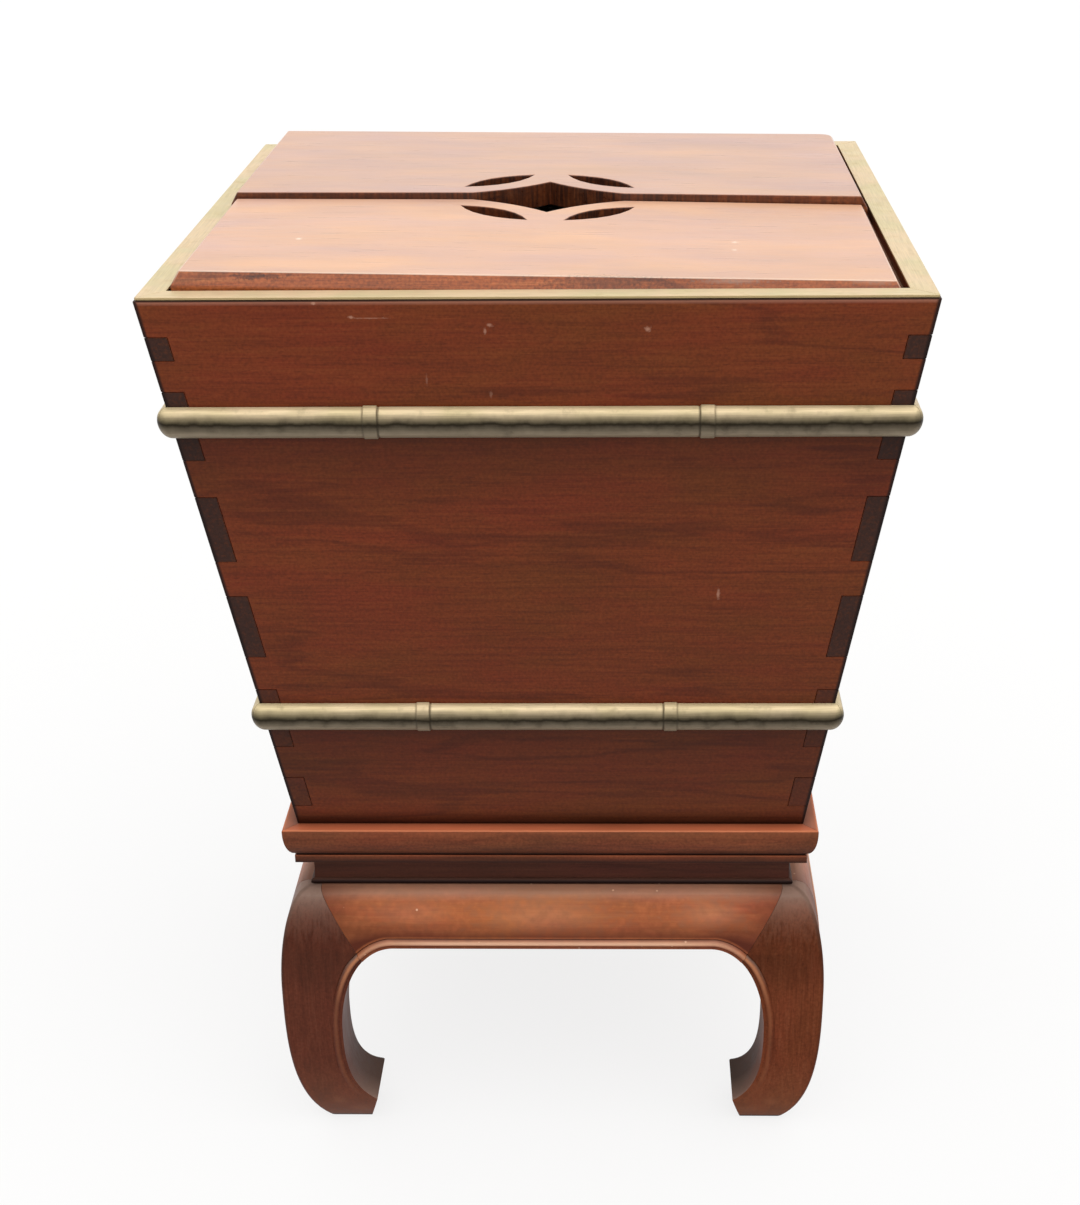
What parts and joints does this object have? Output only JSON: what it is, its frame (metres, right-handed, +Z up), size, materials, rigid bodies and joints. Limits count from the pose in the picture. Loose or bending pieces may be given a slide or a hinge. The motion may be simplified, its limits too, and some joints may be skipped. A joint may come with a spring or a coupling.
{
  "type": "ice chest on stand",
  "caption": "Tapered square hardwood ice chest with brass rim and bamboo-shaped bands, loose coin-pierced lid boards, zinc liner and drain, on a low bow-legged stand with hoof feet.",
  "frame": {"origin": "on the floor under the middle of the stand", "axes": "+Z up, front towards -Y, +X to the right as seen from the front"},
  "size_m": [0.5322, 0.5322, 0.7373],
  "materials": {
    "chest_rosewood": "oiled rosewood, worn satin",
    "lid_rosewood": "rubbed rosewood, faded by light",
    "stand_rosewood": "oiled rosewood, worn satin",
    "waist_rosewood": "dark oiled rosewood",
    "inner_wood": "plain planed hardwood",
    "rim_brass": "aged flat brass strip",
    "band_brass": "aged cast brass",
    "zinc_sheet": "dull folded zinc sheet"
  },
  "bodies": {
    "stand": {"leg_front_left": "stand_rosewood", "leg_front_right": "stand_rosewood", "leg_back_left": "stand_rosewood", "leg_back_right": "stand_rosewood", "apron_front": "stand_rosewood", "apron_right": "stand_rosewood", "apron_back": "stand_rosewood", "apron_left": "stand_rosewood", "waist_front": "waist_rosewood", "waist_right": "waist_rosewood", "waist_back": "waist_rosewood", "waist_left": "waist_rosewood", "frame_rail_front": "stand_rosewood", "frame_rail_right": "stand_rosewood", "frame_rail_back": "stand_rosewood", "frame_rail_left": "stand_rosewood", "stand_panel": "inner_wood", "stand_brace_left": "inner_wood", "stand_brace_right": "inner_wood"},
    "chest": {"chest_board_front": "chest_rosewood", "chest_board_back": "chest_rosewood", "chest_board_left": "chest_rosewood", "chest_board_right": "chest_rosewood", "chest_floor": "inner_wood", "zinc_liner": "zinc_sheet", "lid_ledge_front": "inner_wood", "lid_ledge_back": "inner_wood", "lid_ledge_left": "inner_wood", "lid_ledge_right": "inner_wood", "rim_front": "rim_brass", "rim_right": "rim_brass", "rim_back": "rim_brass", "rim_left": "rim_brass", "upper_band_front": "band_brass", "upper_band_right": "band_brass", "upper_band_back": "band_brass", "upper_band_left": "band_brass", "lower_band_front": "band_brass", "lower_band_right": "band_brass", "lower_band_back": "band_brass", "lower_band_left": "band_brass", "drain_spout": "band_brass"},
    "front_lid": {"front_lid": "lid_rosewood", "front_lid_batten_left": "inner_wood", "front_lid_batten_right": "inner_wood"},
    "rear_lid": {"rear_lid": "lid_rosewood", "rear_lid_batten_left": "inner_wood", "rear_lid_batten_right": "inner_wood"},
    "drain_stopper": {"drain_stopper": "inner_wood"}
  },
  "joints": [
    {"name": "chest_lift", "type": "slide", "parent": "stand", "child": "chest", "axis": [0, 0, 1], "range_m": [0, 0.15]},
    {"name": "front_lid_lift", "type": "slide", "parent": "chest", "child": "front_lid", "axis": [0, 0, 1], "range_m": [0, 0.15]},
    {"name": "rear_lid_lift", "type": "slide", "parent": "chest", "child": "rear_lid", "axis": [0, 0, 1], "range_m": [0, 0.15]},
    {"name": "drain_stopper_pull", "type": "slide", "parent": "chest", "child": "drain_stopper", "axis": [0, 0, 1], "range_m": [0, 0.1]}
  ]
}
